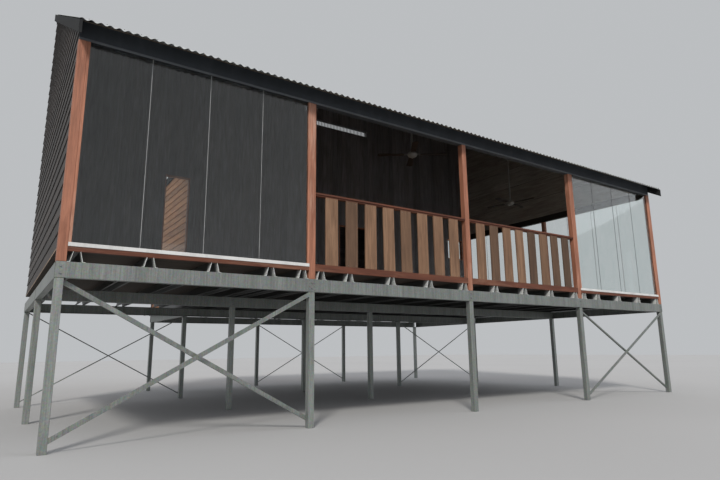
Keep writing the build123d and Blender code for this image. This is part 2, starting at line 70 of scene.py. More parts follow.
INNER = OUTER - WALL
LEAN_X = POSTS[1] - WALL / 2
WALL_BACK = BACK + WALL / 2
REAR_FACE = REAR + WALL / 2
DECK_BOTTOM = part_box("floor_deck")[0].z
DECK_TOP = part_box("floor_deck")[1].z
BEARER_LOW, BEARER_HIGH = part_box("bearer_front")[0].z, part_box("bearer_front")[1].z
TIE_BOTTOM, TIE_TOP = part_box("right_tie_beam")[0].z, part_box("right_tie_beam")[1].z
PURLIN = 0.06
PURLIN_DROP = PURLIN / math.cos(ROOF_PITCH)
LEAN_DROP = PURLIN / math.cos(LEAN_PITCH)
RAFTER = 0.065
SHEET = 0.025
RIB = 0.09
PURLIN_STEP, LEAN_STEP, HIGH_PURLIN = 0.85, 0.9, 1.54
PURLINS = [FRONT + PURLIN_STEP * n for n in range(1, 6)] + [HIGH_PURLIN]
LEAN_PURLINS = [REAR - LEAN_STEP * n for n in range(3)]
main_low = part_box("main_roof_sheet")[0]
main_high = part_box("main_roof_sheet")[1]
lean_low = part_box("lean_to_roof_sheet")[0]
lean_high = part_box("lean_to_roof_sheet")[1]


def main_z(y):
    """Underside of the main roof sheet."""
    return main_low.z + math.tan(ROOF_PITCH) * (y - main_low.y)


def lean_z(y):
    """Underside of the lean-to roof sheet."""
    return lean_low.z + math.tan(LEAN_PITCH) * (lean_high.y - y)


class Look:
    """The nodes of one procedural material."""

    def __init__(self, name, metallic=0.0, specular=0.5):
        self.material = bpy.data.materials.new(name)
        self.material.use_nodes = True
        self.tree = self.material.node_tree
        self.shader = self.tree.nodes["Principled BSDF"]
        self.shader.inputs["Metallic"].default_value = metallic
        self.shader.inputs["Specular IOR Level"].default_value = specular
        self.object = self.tree.nodes.new("ShaderNodeTexCoord").outputs["Object"]
        tone = self.tree.nodes.new("ShaderNodeAttribute")
        tone.attribute_name = "tone"
        self.tone = tone.outputs["Fac"]

    def link(self, source, target):
        self.tree.links.new(source, target)

    def coords(self, scale, apart=37.0):
        """Object coordinates, stretched, and moved apart for each tone."""
        shift = self.tree.nodes.new("ShaderNodeVectorMath")
        shift.operation = "SCALE"
        shift.inputs[0].default_value = (apart, apart * 0.7, apart * 1.3)
        self.link(self.tone, shift.inputs["Scale"])
        moved = self.tree.nodes.new("ShaderNodeVectorMath")
        moved.operation = "ADD"
        self.link(self.object, moved.inputs[0])
        self.link(shift.outputs[0], moved.inputs[1])
        stretch = self.tree.nodes.new("ShaderNodeVectorMath")
        stretch.operation = "MULTIPLY"
        stretch.inputs[1].default_value = scale
        self.link(moved.outputs[0], stretch.inputs[0])
        return stretch.outputs[0]

    def noise(self, vector, scale, detail=4.0, roughness=0.55, distortion=0.0):
        node = self.tree.nodes.new("ShaderNodeTexNoise")
        node.inputs["Scale"].default_value = scale
        node.inputs["Detail"].default_value = detail
        node.inputs["Roughness"].default_value = roughness
        node.inputs["Distortion"].default_value = distortion
        self.link(vector, node.inputs["Vector"])
        return node.outputs["Fac"]

    def cells(self, vector, scale):
        node = self.tree.nodes.new("ShaderNodeTexVoronoi")
        node.inputs["Scale"].default_value = scale
        self.link(vector, node.inputs["Vector"])
        return node.outputs["Color"]

    def ramp(self, factor, *stops):
        node = self.tree.nodes.new("ShaderNodeValToRGB")
        elements = node.color_ramp.elements
        while len(elements) < len(stops):
            elements.new(0.5)
        for element, (place, colour) in zip(elements, stops):
            element.position = place
            element.color = (*colour, 1)
        self.link(factor, node.inputs["Fac"])
        return node.outputs["Color"]

    def mix(self, kind, amount, first, second):
        node = self.tree.nodes.new("ShaderNodeMix")
        node.data_type = "RGBA"
        node.blend_type = kind
        if isinstance(amount, float):
            node.inputs[0].default_value = amount
        else:
            self.link(amount, node.inputs[0])
        for value, socket in ((first, node.inputs[6]), (second, node.inputs[7])):
            if isinstance(value, tuple):
                socket.default_value = (*value, 1)
            else:
                self.link(value, socket)
        return node.outputs[2]

    def axis(self, number):
        """One of the object coordinates."""
        node = self.tree.nodes.new("ShaderNodeSeparateXYZ")
        self.link(self.object, node.inputs[0])
        return node.outputs[number]

    def levels(self, value, low, high, start=0.0, end=1.0):
        """A factor spread between two values, as it goes from start to end."""
        node = self.tree.nodes.new("ShaderNodeMapRange")
        node.inputs["From Min"].default_value = start
        node.inputs["From Max"].default_value = end
        node.inputs["To Min"].default_value = low
        node.inputs["To Max"].default_value = high
        self.link(value, node.inputs["Value"])
        return node.outputs["Result"]

    def bump(self, height, distance, strength=1.0, before=None):
        node = self.tree.nodes.new("ShaderNodeBump")
        node.inputs["Distance"].default_value = distance
        node.inputs["Strength"].default_value = strength
        self.link(height, node.inputs["Height"])
        if before:
            self.link(before, node.inputs["Normal"])
        return node.outputs["Normal"]

    def finish(self, colour, roughness, normal=None):
        self.link(colour, self.shader.inputs["Base Color"])
        self.link(roughness, self.shader.inputs["Roughness"])
        if normal:
            self.link(normal, self.shader.inputs["Normal"])
        return self.material


def tint(colour, factor):
    """A colour made lighter or darker."""
    return tuple(min(1.0, value * factor) for value in colour)


def wood(name, colour, along, rough=(0.5, 0.75), variety=0.35, worn=None, specular=0.5):
    """Stained timber with its grain along one axis: 0, 1 or 2."""
    look = Look(name, specular=specular)
    fine, broad = [1.0] * 3, [1.0] * 3
    fine[along], broad[along] = 0.03, 0.12
    grain = look.noise(look.coords(fine), 95, 6, 0.65, 0.6)
    figure = look.noise(look.coords(broad), 9, 3, 0.5, 1.2)
    patches = look.noise(look.object, 1.1, 3, 0.6)
    base = look.ramp(
        grain, (0.25, tint(colour, 0.5)), (0.5, colour), (0.78, tint(colour, 1.45))
    )
    base = look.mix("MULTIPLY", 0.75, base, look.ramp(
        figure, (0.3, (0.55, 0.5, 0.46)), (0.65, (1.0, 1.0, 1.0))
    ))
    base = look.mix("MULTIPLY", 0.6, base, look.ramp(
        patches, (0.3, (0.7, 0.68, 0.66)), (0.7, (1.0, 1.0, 1.0))
    ))
    if worn:
        bare = look.ramp(
            look.noise(look.coords(broad), 5, 6, 0.75),
            (0.52, (0.0, 0.0, 0.0)),
            (0.74, (0.8, 0.8, 0.8)),
        )
        base = look.mix("MIX", bare, base, worn)
    shade = look.ramp(
        look.tone,
        (0.0, tint((1, 1, 1), 1 - variety)),
        (0.5, (0.92, 0.9, 0.88)),
        (1.0, (1.0, 1.0, 1.0)),
    )
    base = look.mix("MULTIPLY", 1.0, base, shade)
    normal = look.bump(grain, 0.0015, 0.5, look.bump(figure, 0.003, 0.3))
    return look.finish(base, look.levels(grain, *rough), normal)


def zinc(name, colour, streak, rough=(0.38, 0.6), metallic=0.65, painted_shade_line=None):
    """Galvanised steel with spangle and fine runs along one axis, and painted shade behind a line
    in y.
    """
    look = Look(name, metallic)
    fine, broad = [34.0] * 3, [7.0] * 3
    fine[streak], broad[streak] = 1.4, 0.5
    runs = look.noise(look.coords(tuple(fine)), 2.0, 7, 0.72)
    sheets = look.noise(look.coords(tuple(broad)), 1.0, 4, 0.6)
    spangle = look.cells(look.object, 70)
    base = look.ramp(
        runs, (0.28, tint(colour, 0.66)), (0.52, colour), (0.74, tint(colour, 1.3))
    )
    base = look.mix("MULTIPLY", 0.7, base, look.ramp(
        sheets, (0.3, (0.66, 0.67, 0.66)), (0.68, (1.0, 1.0, 1.0))
    ))
    base = look.mix("SOFT_LIGHT", 0.16, base, spangle)
    rust = look.ramp(look.noise(look.object, 6, 8, 0.8), (0.69, (0, 0, 0)), (0.78, (0.5,) * 3))
    base = look.mix("MIX", rust, base, (0.17, 0.1, 0.06))
    # Painted shade: the colour darkens behind a line in y, where the part lies in shade
    if painted_shade_line is not None:
        depth = look.levels(look.axis(1), 1.0, 0.12, painted_shade_line + 0.03, painted_shade_line + 0.12)
        base = look.mix("MULTIPLY", 1.0, base, depth)
    normal = look.bump(runs, 0.0008, 0.35)
    return look.finish(base, look.levels(runs, *rough), normal)


def paint(name, colour, rough=(0.35, 0.55), dirt=(0.3, 0.28, 0.25), specular=0.5):
    """Painted or coated metal with dust and small chips."""
    look = Look(name, specular=specular)
    dust = look.noise(look.coords((1.0, 1.0, 0.4)), 3.5, 7, 0.7)
    fine = look.noise(look.object, 160, 3, 0.6)
    base = look.ramp(dust, (0.35, tint(colour, 0.82)), (0.6, tint(colour, 1.08)))
    base = look.mix("MIX", look.ramp(
        dust, (0.55, (0, 0, 0)), (0.85, (0.45, 0.45, 0.45))
    ), base, dirt)
    return look.finish(base, look.levels(dust, *rough), look.bump(fine, 0.0003, 0.5))


def glazing(name):
    """Clear float glass with a faint green body and rain dust."""
    look = Look(name)
    shader = look.shader
    shader.inputs["IOR"].default_value = 1.5
    shader.inputs["Transmission Weight"].default_value = 1.0
    dust = look.noise(look.coords((1.0, 1.0, 0.35)), 7, 8, 0.75)
    tinted = look.ramp(dust, (0.4, (0.9, 0.945, 0.935)), (0.75, (0.96, 0.98, 0.975)))
    haze = look.levels(dust, 0.0, 0.035)
    return look.finish(tinted, haze)


# Materials
FRONT_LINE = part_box("joists_main")[0].y
RED = (0.40, 0.125, 0.062)
RED_POSTS = (0.52, 0.22, 0.135)
red_upright = wood("red_timber_upright", RED_POSTS, 2, variety=0.1, worn=(0.72, 0.46, 0.35))
red_level = wood("red_timber_level", tint(RED, 0.44), 0, variety=0.1, worn=(0.36, 0.19, 0.12))
TAN = (0.29, 0.168, 0.1)
tan_upright = wood("tan_timber", TAN, 2, rough=(0.6, 0.85), variety=0.72)
DARK = (0.058, 0.046, 0.04)
dark_along_y = wood("dark_boards_along_y", DARK, 1, variety=0.45)
dark_along_x = wood("dark_boards_along_x", DARK, 0, variety=0.45)
LINING_TONE = (0.24, 0.237, 0.255)
lining_along_y = wood("lining_along_y", LINING_TONE, 1, variety=0.35)
lining_along_x = wood("lining_along_x", LINING_TONE, 0, variety=0.35)
lining_upright = wood("lining_upright", LINING_TONE, 2, variety=0.35)
gable_panels = wood("gable_panels", (0.5, 0.49, 0.47), 1, variety=0.3)
ORANGE = (0.95, 0.4, 0.17)
orange_along_y = wood("orange_boards_along_y", ORANGE, 1, variety=0.3)
orange_along_x = wood("orange_boards_along_x", ORANGE, 0, variety=0.3)
# The board cores behind the gaps are coloured near black: painted shadow between the weatherboards
orange_shadow_core = wood("orange_board_shadows", tint(ORANGE, 0.12), 1)
FRAMING = (0.5, 0.42, 0.34)
framing_along_x = wood("framing_along_x", FRAMING, 0)
framing_along_y = wood("framing_along_y", FRAMING, 1)
floor_wood = wood("floor_boards", (0.55, 0.39, 0.26), 1, variety=0.3)
# The ply underlay under the floor is coloured near black as painted shade
shaded_floor_ply = wood("floor_underside_painted_shade", (0.07, 0.052, 0.038), 0, rough=(0.7, 0.9))
GALVANISED = (0.3, 0.32, 0.305)
zinc_upright = zinc("galvanised_upright", tint(GALVANISED, 1.15), 2)
zinc_level = zinc("galvanised_level", GALVANISED, 2)
# Joists: bright zinc at their front ends, darkened behind the front line as painted shade
zinc_bright = zinc(
    "bright_zinc", (0.78, 0.8, 0.79), 1, rough=(0.4, 0.55), metallic=0.2, painted_shade_line=FRONT_LINE
)
zinc_roof = zinc("zinc_roof", (0.55, 0.57, 0.58), 1, rough=(0.4, 0.6), metallic=0.15)
dark_steel = paint(
    "dark_steel", (0.036, 0.044, 0.057), rough=(0.6, 0.8), dirt=(0.11, 0.11, 0.11), specular=0.25
)
# Barge boards coloured near black as painted shade
barge_steel_painted_shade = paint(
    "barge_steel_painted_shade", (0.03, 0.031, 0.032), rough=(0.7, 0.85), dirt=(0.07, 0.068, 0.064), specular=0.1
)
beam_steel = paint(
    "beam_steel", (0.058, 0.066, 0.078), rough=(0.55, 0.75), dirt=(0.13, 0.13, 0.125), specular=0.3
)
# Lighter paint for the eave beam's lip: a painted highlight along the beam's lower edge
lip_highlight_paint = paint("beam_lip", (0.13, 0.14, 0.155), rough=(0.3, 0.5))
white_sill = paint("white_sill", (0.72, 0.72, 0.71), dirt=(0.45, 0.42, 0.38))
fan_paint = paint("fan_enamel", (0.3, 0.3, 0.29), dirt=(0.2, 0.2, 0.19))
blade_paint = wood("fan_blade", (0.06, 0.045, 0.036), 0, rough=(0.65, 0.8), specular=0.15)
bolt_zinc = zinc("bolt_zinc", (0.3, 0.31, 0.305), 2, metallic=0.6)
bar_steel = paint("bar_steel", (0.2, 0.2, 0.2), dirt=(0.3, 0.3, 0.29))
sealant = paint("clear_sealant", (0.55, 0.56, 0.56), rough=(0.3, 0.45))
glass = glazing("clear_glass")


class Mesh:
    """Collects closed solids into one mesh, each with its own tone."""

    def __init__(self, seed):
        self.bm = bmesh.new()
        self.layer = self.bm.faces.layers.float.new("tone")
        self.random = random.Random(seed)

    def prism(self, first, second, tone=None):
        """A closed solid between two rings with the same number of points."""
        shade = self.random.random() if tone is None else tone
        low = [self.bm.verts.new(point) for point in first]
        high = [self.bm.verts.new(point) for point in second]
        faces = [self.bm.faces.new(low[::-1]), self.bm.faces.new(high)]
        for n in range(len(low)):
            m = (n + 1) % len(low)
            faces.append(self.bm.faces.new((low[n], low[m], high[m], high[n])))
        for face in faces:
            face[self.layer] = shade
        return faces

    def box(self, low, high, tone=None):
        (x0, y0, z0), (x1, y1, z1) = low, high
        ring = [(x0, y0), (x1, y0), (x1, y1), (x0, y1)]
        return self.prism([(x, y, z0) for x, y in ring], [(x, y, z1) for x, y in ring], tone)

    def rod(self, start, end, radius, sides=10, end_radius=None, tone=None):
        """A round bar, or a cone if the end radius differs."""
        start, end = Vector(start), Vector(end)
        turn = (end - start).to_track_quat("Z", "Y").to_matrix()
        far = radius if end_radius is None else end_radius
        around = [2 * math.pi * n / sides for n in range(sides)]
        first = [start + turn @ Vector((math.cos(a), math.sin(a), 0)) * radius for a in around]
        second = [end + turn @ Vector((math.cos(a), math.sin(a), 0)) * far for a in around]
        return self.prism(first, second, tone)

    def bolt(self, place, normal, size=0.016):
        """A washer with a hexagon head."""
        place, normal = Vector(place), Vector(normal)
        self.rod(place, place + normal * size * 0.16, size * 0.95, 12)
        self.rod(place + normal * size * 0.16, place + normal * size * 0.75, size * 0.62, 6)

    def make(self, name, material, slot, stands_for=(), bevel=0.0, body="root", smooth=False):
        bmesh.ops.recalc_face_normals(self.bm, faces=self.bm.faces)
        data = bpy.data.meshes.new(name)
        self.bm.to_mesh(data)
        self.bm.free()
        piece = bpy.data.objects.new(name, data)
        bpy.context.scene.collection.objects.link(piece)
        data.materials.append(material)
        if smooth:
            data.shade_smooth()
        if bevel:
            soften(piece, bevel)
        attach(piece, body)
        if stands_for:
            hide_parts(*stands_for)
        return piece


def soften(piece, width, segments=2):
    """Rounds the sharp edges of a piece a little."""
    edge = piece.modifiers.new("edge", "BEVEL")
    edge.width = width
    edge.segments = segments
    edge.limit_method = "ANGLE"
    edge.angle_limit = math.radians(35)
    edge.harden_normals = True


def dress(node, material, bevel):
    """Gives a frame node its material and slightly rounded edges."""
    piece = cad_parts[node]
    piece.data.materials.clear()
    piece.data.materials.append(material)
    if bevel:
        join = piece.modifiers.new("join", "WELD")
        join.merge_threshold = 0.0002
        soften(piece, bevel)


def clip(ring, axis, limit, keep_above):
    """Cuts a flat convex ring at a limit on one axis."""
    kept = []
    for n, point in enumerate(ring):
        before = ring[n - 1]
        inside = (point[axis] - limit) * keep_above >= 0
        inside_before = (before[axis] - limit) * keep_above >= 0
        if inside != inside_before:
            share = (limit - before[axis]) / (point[axis] - before[axis])
            kept.append(tuple(b + share * (p - b) for p, b in zip(point, before)))
        if inside:
            kept.append(point)
    return kept


def on_wall(normal_axis, depth, point):
    """A point of a wall, from its depth and its place along and up."""
    if normal_axis == 0:
        return (depth, point[0], point[1])
    return (point[0], depth, point[1])


def slab(mesh, rings, normal_axis, near, far):
    """Plain flat core of a wall."""
    for ring in rings:
        mesh.prism(
            [on_wall(normal_axis, near, p) for p in ring],
            [on_wall(normal_axis, far, p) for p in ring],
        )


def boards(mesh, rings, normal_axis, base, out, run, width, gap=0.003, taper=0.0):
    """Boards fixed on a wall face. run is the axis in which boards follow one another."""
    starts = min(point[run] for ring in rings for point in ring)
    ends = max(point[run] for ring in rings for point in ring)
    count = int(math.ceil((ends - starts) / width))
    for n in range(count):
        low = starts + n * width
        high = low + width - gap
        tone = mesh.random.random()
        for ring in rings:
            cut = clip(clip(ring, run, low, 1), run, high, -1)
            if len(cut) < 3:
                continue
            spread = max(p[run] for p in cut) - min(p[run] for p in cut)
            if spread < gap:
                continue
            outer = []
            for p in cut:
                lift = 1 - taper * (p[run] - low) / (high - low)
                outer.append(on_wall(normal_axis, base + out * lift, p))
            mesh.prism([on_wall(normal_axis, base, p) for p in cut], outer, tone)


def corrugated(name, start_x, end_x, start_y, end_y, height_at, node, seed):
    """Overlapping sheets of corrugated zinc within the plain sheet's thickness."""
    cover, gauge, lap, steps = 8 * RIB, 0.0012, 0.0028, 8
    upright = math.hypot(1, height_at(1) - height_at(0))
    middle = SHEET / 2 * upright
    swing = (SHEET / 2 - lap) * upright
    mesh = Mesh(seed)
    count = int(math.ceil((end_x - start_x) / cover))
    for n in range(count):
        left = start_x + n * cover
        right = min(left + cover + RIB, end_x)
        if right - left < RIB:
            continue
        samples = int(round((right - left) / RIB * steps)) + 1
        tone = mesh.random.random()
        rows = []
        for y in (start_y, end_y):
            for side in (-gauge / 2, gauge / 2):
                row = []
                for k in range(samples):
                    x = left + (right - left) * k / (samples - 1)
                    wave = math.sin(2 * math.pi * (x - start_x) / RIB)
                    lift = lap * k / (samples - 1) - lap / 2
                    z = height_at(y) + middle + swing * wave + lift + side
                    row.append(mesh.bm.verts.new((x, y, z)))
                rows.append(row)
        under_front, top_front, under_back, top_back = rows
        pairs = (
            (top_front, top_back),
            (under_back, under_front),
            (under_front, top_front),
            (top_back, under_back),
        )
        for a, b in pairs:
            for k in range(samples - 1):
                face = mesh.bm.faces.new((a[k], a[k + 1], b[k + 1], b[k]))
                face[mesh.layer] = tone
        for k in (0, samples - 1):
            face = mesh.bm.faces.new(
                (under_front[k], top_front[k], top_back[k], under_back[k])
            )
            face[mesh.layer] = tone
    piece = mesh.make(name, zinc_roof, "roof_zinc", (node,))
    piece.data.shade_smooth()
    sharp = piece.modifiers.new("sharp", "EDGE_SPLIT")
    sharp.split_angle = math.radians(60)


# Roof sheets with screws along the purlins
corrugated(
    "main_roof_corrugation", main_low.x, main_high.x, main_low.y, main_high.y,
    main_z, "main_roof_sheet", 1,
)
corrugated(
    "lean_to_corrugation", lean_low.x, lean_high.x, lean_low.y, lean_high.y,
    lean_z, "lean_to_roof_sheet", 2,
)
screws = Mesh(3)
WASHER_TOP, HEAD_TOP, WASHER_RADIUS, HEAD_RADIUS = 0.0015, 0.006, 0.009, 0.005
CREST_DROP, FIRST_CREST, SHEET_END = 0.002, 1.25 * RIB, 0.05
for purlins, height_at, first in (
    ([FRONT, *PURLINS], main_z, main_low.x),
    (LEAN_PURLINS, lean_z, lean_low.x),
):
    slope = height_at(1) - height_at(0)
    up = Vector((0, -slope, 1)).normalized()
    for y in purlins:
        x = first + FIRST_CREST
        while x < main_high.x - SHEET_END:
            crest = Vector((x, y, height_at(y) + (SHEET - CREST_DROP) * math.hypot(1, slope)))
            screws.rod(crest, crest + up * WASHER_TOP, WASHER_RADIUS, 8)
            screws.rod(crest + up * WASHER_TOP, crest + up * HEAD_TOP, HEAD_RADIUS, 6)
            x += 2 * RIB
screws.make("roof_screws", bolt_zinc, "roof_zinc")

# Folded eave beam: a channel with a rolled lip along its lower edge
beam_low, beam_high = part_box("eave_beam")
y0, y1, z0, z1 = beam_low.y, beam_high.y, beam_low.z, beam_high.z
fold, inset, turn_up = 0.006, 0.004, 0.03
profile = [
    (y0 + inset, z0 + turn_up), (y0 + inset, z1), (y1, z1), (y1, z1 - fold),
    (y0 + inset + fold, z1 - fold), (y0 + inset + fold, z0 + fold),
    (y1 - fold, z0 + fold), (y1 - fold, z0 + turn_up), (y1, z0 + turn_up), (y1, z0),
    (y0 + 0.01, z0), (y0 + inset, z0 + fold),
]
beam = Mesh(4)
beam.prism(
    [(beam_low.x, y, z) for y, z in profile], [(beam_high.x, y, z) for y, z in profile]
)
beam.make("folded_eave_beam", beam_steel, "dark_steel", ("eave_beam",), bevel=0.0015)
lip = Mesh(5)
lip_depth = 0.0038
lip_profile = [
    (y0, z0 + 0.004), (y0, z0 + 0.024), (y0 + lip_depth, z0 + 0.029),
    (y0 + lip_depth, z0 + 0.001),
]
lip.prism(
    [(beam_low.x, y, z) for y, z in lip_profile], [(beam_high.x, y, z) for y, z in lip_profile]
)
lip.make("eave_beam_lip", lip_highlight_paint, "dark_steel", bevel=0.001)

# Boards: how far they stand off a wall's core, their widths, tapers and gaps
CORE_IN, CORE_OUT = 0.014, 0.02
DARK_BOARD, DARK_TAPER = 0.17, 0.55
ORANGE_BOARD, ORANGE_TAPER, SHADOW_GAP = 0.145, 0.6, 0.01
INNER_BOARD = 0.14
GABLE_PANEL, PANEL_GAP = 0.52, 0.012


def under_main(start, end, bottom):
    """Outline of a wall that rises to the main roof between two depths."""
    return [
        (start, bottom), (end, bottom),
        (end, main_z(end) - PURLIN_DROP), (start, main_z(start) - PURLIN_DROP),
    ]


# Left wall: dark weatherboards outside, boards along the wall inside
left_ring = under_main(FRONT + HALF_POST, WALL_BACK, DECK_TOP)
wall = Mesh(6)
slab(wall, [left_ring], 0, -OUTER + CORE_OUT, -INNER - CORE_IN)
wall.make("left_wall_core", dark_along_y, "dark_boarding", ("left_wall",))
wall = Mesh(7)
boards(wall, [left_ring], 0, -OUTER + CORE_OUT, -CORE_OUT, 1, DARK_BOARD, taper=DARK_TAPER)
wall.make("left_wall_weatherboards", dark_along_y, "dark_boarding")
wall = Mesh(8)
boards(wall, [left_ring], 0, -INNER - CORE_IN, CORE_IN, 1, INNER_BOARD)
wall.make("left_wall_lining", lining_along_y, "dark_boarding")

# Right half gable above the tie beam
right_ring = under_main(FRONT + HALF_POST, WALL_BACK, TIE_TOP)
wall = Mesh(9)
slab(wall, [right_ring], 0, INNER + CORE_IN, OUTER - CORE_OUT)
wall.make("right_gable_core", dark_along_y, "dark_boarding", ("right_gable_wall",))
wall = Mesh(10)
boards(wall, [right_ring], 0, OUTER - CORE_OUT, CORE_OUT, 1, DARK_BOARD, taper=DARK_TAPER)
wall.make("right_gable_weatherboards", dark_along_y, "dark_boarding")
wall = Mesh(11)
boards(wall, [right_ring], 0, INNER + CORE_IN, -CORE_IN, 1, GABLE_PANEL, gap=PANEL_GAP)
wall.make("right_gable_lining", gable_panels, "dark_boarding")

# Openings in the walls, as low and high along the wall, then low and high up it
wall_low, wall_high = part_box("back_wall")
DOOR = (0.95, 1.85, DECK_TOP, DECK_TOP + 2.1)
WINDOW_SILL = DECK_TOP + 1.545
BACK_WINDOW = (4.65, 5.25, WINDOW_SILL, DECK_TOP + 2.125)
END_WINDOW = (WALL_BACK + 0.1, WALL_BACK + 1.0, WINDOW_SILL, DECK_TOP + 2.395)
VENT_HIGH = wall_high.z - 0.36
VENT_LOW = VENT_HIGH - 0.15
VENT_LEFT, VENT_WIDTH = POSTS[2] + HALF_POST, 1.8
VENT = (VENT_LEFT, VENT_LEFT + VENT_WIDTH, VENT_LOW, VENT_HIGH)
GARDEN_WIDTH, GARDEN_HEIGHT = 0.52, 2.67
GARDEN = (LEAN_X - GARDEN_WIDTH, LEAN_X, DECK_TOP, DECK_TOP + GARDEN_HEIGHT)
CORNER = (OUTER - 2 * HALF_POST, INNER, DECK_TOP, TIE_BOTTOM)


def rectangle(u0, u1, v0, v1):
    return [(u0, v0), (u1, v0), (u1, v1), (u0, v1)]


def around(outline, holes):
    """Rectangles, in columns, that fill an outline except for its holes."""
    u0, u1, v0, v1 = outline
    cuts = sorted({u0, u1} | {u for hole in holes for u in hole[:2] if u0 < u < u1})
    rings = []
    for left, right in zip(cuts, cuts[1:]):
        level = v0
        for hole in sorted(holes, key=lambda limits: limits[2]):
            if hole[0] > left or hole[1] < right or hole[3] <= v0 or hole[2] >= v1:
                continue
            if hole[2] > level:
                rings.append(rectangle(left, right, level, hole[2]))
            level = hole[3]
        if level < v1:
            rings.append(rectangle(left, right, level, v1))
    return rings


# Back wall
front_face, rear_face = wall_low.y, wall_high.y
lean_top = lean_z(WALL_BACK)
back_rings = around(
    (-INNER, INNER, DECK_TOP, wall_high.z), [DOOR, BACK_WINDOW, CORNER, VENT, GARDEN]
)
high_rings = around((-INNER, LEAN_X, DECK_TOP, wall_high.z), [GARDEN])
high_rings += around((LEAN_X, INNER, lean_top, wall_high.z), [VENT])
low_rings = around((LEAN_X, INNER, DECK_TOP, lean_top), [DOOR, BACK_WINDOW, CORNER])
wall = Mesh(12)
slab(wall, back_rings, 1, front_face + CORE_IN, rear_face - CORE_OUT)
wall.make("back_wall_core", dark_along_x, "dark_boarding", ("back_wall",))
wall = Mesh(13)
boards(wall, back_rings, 1, front_face + CORE_IN, -CORE_IN, 0, INNER_BOARD)
wall.make("back_wall_lining", lining_upright, "dark_boarding")
wall = Mesh(14)
boards(wall, high_rings, 1, rear_face - CORE_OUT, CORE_OUT, 1, DARK_BOARD, taper=DARK_TAPER)
wall.make("back_wall_weatherboards", dark_along_x, "dark_boarding")
wall = Mesh(15)
boards(wall, low_rings, 1, rear_face - CORE_OUT, CORE_OUT, 0, INNER_BOARD)
wall.make("lean_to_inner_lining", lining_upright, "dark_boarding")

# Upright bars across the vent slot
bars = Mesh(35)
BAR_PITCH, HALF_BAR, HALF_BAR_DEPTH = 0.045, 0.012, 0.003
bar_count = int((VENT[1] - VENT[0]) / BAR_PITCH)
for n in range(1, bar_count):
    x = VENT[0] + (VENT[1] - VENT[0]) * n / bar_count
    bars.box(
        (x - HALF_BAR, BACK - HALF_BAR_DEPTH, VENT_LOW),
        (x + HALF_BAR, BACK + HALF_BAR_DEPTH, VENT_HIGH),
    )
bars.make("vent_bars", bar_steel, "dark_boarding", bevel=0.001)


def under_lean(start, end, bottom):
    """Outline of a wall that falls to the lean-to roof between two depths."""
    return [
        (start, bottom), (end, bottom),
        (end, lean_z(end) - LEAN_DROP), (start, lean_z(start) - LEAN_DROP),
    ]


# Lean-to walls in orange weatherboards
REAR_INNER = REAR - WALL / 2
left_end = [under_lean(WALL_BACK, REAR_INNER, DECK_TOP)]
right_end = [
    under_lean(WALL_BACK, END_WINDOW[0], DECK_TOP),
    rectangle(END_WINDOW[0], END_WINDOW[1], DECK_TOP, END_WINDOW[2]),
    under_lean(END_WINDOW[0], END_WINDOW[1], END_WINDOW[3]),
    under_lean(END_WINDOW[1], REAR_INNER, DECK_TOP),
]
core, outside, inside = Mesh(16), Mesh(17), Mesh(18)
for face_x, out, rings in ((LEAN_X, 1, left_end), (OUTER, -1, right_end)):
    slab(core, rings, 0, face_x + out * CORE_OUT, face_x + out * (WALL - CORE_IN))
    boards(
        outside, rings, 0, face_x + out * CORE_OUT, -out * CORE_OUT, 1,
        ORANGE_BOARD, SHADOW_GAP, ORANGE_TAPER,
    )
    boards(inside, rings, 0, face_x + out * (WALL - CORE_IN), out * CORE_IN, 1, INNER_BOARD)
core.make("lean_to_end_core", orange_shadow_core, "orange_weatherboard", ("lean_to_end_walls",))
outside.make("lean_to_end_weatherboards", orange_along_y, "orange_weatherboard")
inside.make("lean_to_end_lining", lining_along_y, "dark_boarding")

rear_top = lean_z(REAR_FACE) - LEAN_DROP
rear_rings = around((LEAN_X, OUTER, DECK_TOP, rear_top), [DOOR])
core, outside, inside = Mesh(19), Mesh(20), Mesh(21)
slab(core, rear_rings, 1, REAR_INNER + CORE_IN, REAR_FACE - CORE_OUT)
wedge = [
    (REAR_INNER + CORE_IN, rear_top), (REAR_FACE - CORE_OUT, rear_top),
    (REAR_FACE - CORE_OUT, lean_z(REAR_FACE - CORE_OUT) - LEAN_DROP),
    (REAR_INNER + CORE_IN, lean_z(REAR_INNER + CORE_IN) - LEAN_DROP),
]
notches = [(x - RAFTER / 2, x + RAFTER / 2) for x in POSTS[2:4]]
plate_x = [LEAN_X, *notches[0], *notches[1], OUTER]
for left, right in zip(plate_x[::2], plate_x[1::2]):
    core.prism([(left, y, z) for y, z in wedge], [(right, y, z) for y, z in wedge])
boards(
    outside, rear_rings, 1, REAR_FACE - CORE_OUT, CORE_OUT, 1,
    ORANGE_BOARD, SHADOW_GAP, ORANGE_TAPER,
)
boards(inside, rear_rings, 1, REAR_INNER + CORE_IN, -CORE_IN, 1, INNER_BOARD)
core.make("lean_to_rear_core", orange_shadow_core, "orange_weatherboard", ("lean_to_rear_wall",))
outside.make("lean_to_rear_weatherboards", orange_along_x, "orange_weatherboard")
inside.make("lean_to_rear_lining", lining_along_x, "dark_boarding")

# Corner stops, and linings in the doorways and windows
trim = Mesh(22)
STOP_WIDTH, STOP_DEPTH = 0.04, 0.019
for x in (LEAN_X, OUTER - STOP_WIDTH):
    trim.box((x, REAR_FACE, DECK_TOP), (x + STOP_WIDTH, REAR_FACE + STOP_DEPTH, rear_top))
LINING, PROUD = 0.022, 0.004


def line_opening(normal_axis, near, far, opening, with_sill):
    """Lining boards inside an opening, from one depth to another."""
    u0, u1, v0, v1 = opening
    sides = [(u0, u0 + LINING, v0, v1), (u1 - LINING, u1, v0, v1)]
    sides.append((u0 + LINING, u1 - LINING, v1 - LINING, v1))
    if with_sill:
        sides.append((u0 + LINING, u1 - LINING, v0, v0 + LINING))
    slab(trim, [rectangle(*side) for side in sides], normal_axis, near, far)


